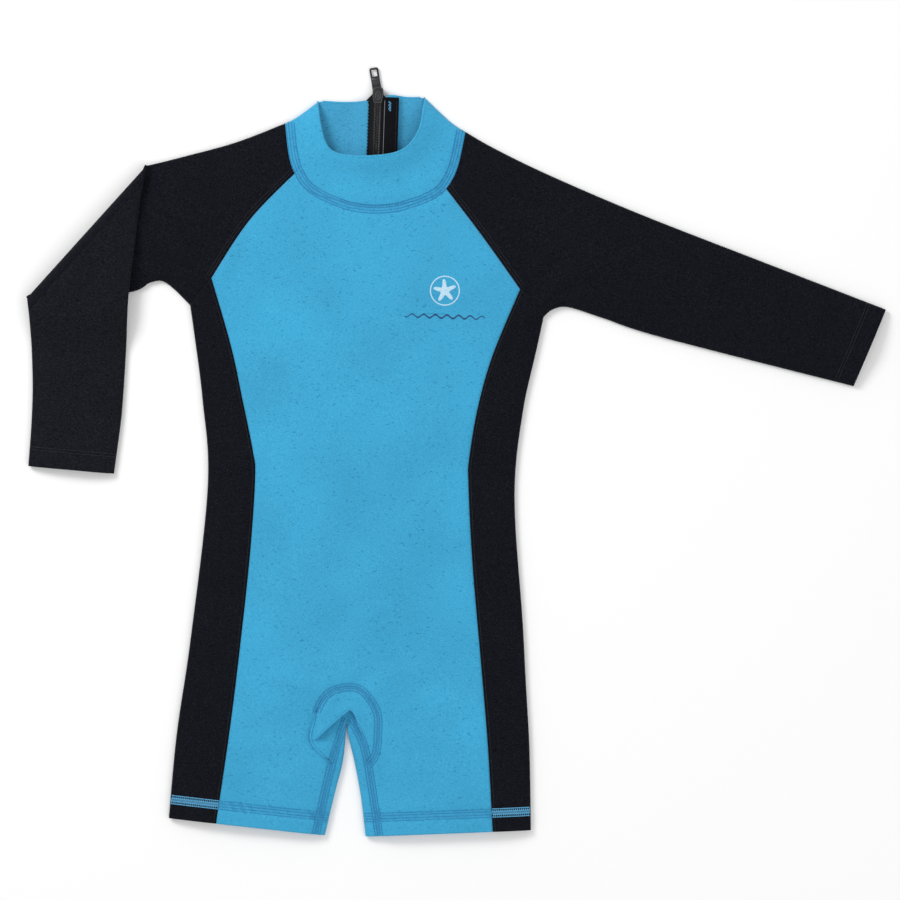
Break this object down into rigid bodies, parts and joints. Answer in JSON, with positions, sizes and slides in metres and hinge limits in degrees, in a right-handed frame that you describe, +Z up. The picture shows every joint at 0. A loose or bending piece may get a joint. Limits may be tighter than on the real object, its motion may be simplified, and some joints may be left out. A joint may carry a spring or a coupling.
{
  "type": "full wetsuit",
  "caption": "Small child's one-piece water suit laid flat: long raglan sleeves, one folded over, short legs, stand-up collar, side panels and a back zip.",
  "frame": {"origin": "middle of the laid-out suit's footprint, on the surface that it lies on", "axes": "+X towards the wearer's left side, +Y towards the collar, +Z up, out of the front of the suit"},
  "size_m": [0.6646, 0.5955, 0.0203],
  "materials": {
    "blue_fabric": "matte heathered stretch knit",
    "black_fabric": "matte stretch knit",
    "blue_thread": "flatlock thread",
    "sky_thread": "flatlock thread",
    "black_thread": "twin-needle thread",
    "zip_tape": "woven tape",
    "zip_coil": "moulded coil",
    "zip_metal": "satin enamel"
  },
  "bodies": {
    "suit": {"front_panel": "blue_fabric", "back_panel_right": "blue_fabric", "back_panel_left": "blue_fabric", "crotch_gusset": "blue_fabric", "collar": "blue_fabric", "collar_lining": "blue_fabric", "side_panel_right": "black_fabric", "side_panel_left": "black_fabric", "left_sleeve": "black_fabric", "right_sleeve_upper": "black_fabric", "zip_guard": "black_fabric", "neck_stitching": "blue_thread", "gusset_stitching": "blue_thread", "inseam_stitching_right": "blue_thread", "inseam_stitching_left": "blue_thread", "zip_stitching_right": "blue_thread", "zip_stitching_left": "blue_thread", "centre_back_stitching": "blue_thread", "hem_stitching_right": "sky_thread", "hem_stitching_left": "sky_thread", "cuff_stitching_left": "black_thread", "raglan_stitching_right": "black_thread", "raglan_stitching_left": "black_thread", "zip_tape_right": "zip_tape", "zip_tape_left": "zip_tape", "zip_coil_right": "zip_coil", "zip_coil_left": "zip_coil", "zip_top_stop_right": "zip_metal", "zip_top_stop_left": "zip_metal", "zip_bottom_stop": "zip_metal"},
    "slider": {"zip_slider": "zip_metal"},
    "pull": {"pull_tab": "zip_metal"},
    "forearm": {"right_sleeve_forearm": "black_fabric", "cuff_stitching_right": "black_thread"}
  },
  "joints": [
    {"name": "zip_slide", "type": "slide", "parent": "suit", "child": "slider", "axis": [0, -1, 0], "range_m": [0, 0.29]},
    {"name": "pull_hinge", "type": "hinge", "parent": "slider", "child": "pull", "pos_m": [-0.06625, 0.2762, 0.00155], "axis": [-0.9903, -0.1392, 0], "range_deg": [0, 180]},
    {"name": "sleeve_fold", "type": "hinge", "parent": "suit", "child": "forearm", "pos_m": [-0.24875, 0.21365, 0.01015], "axis": [-0.628, -0.7782, 0], "range_deg": [0, 180]}
  ]
}
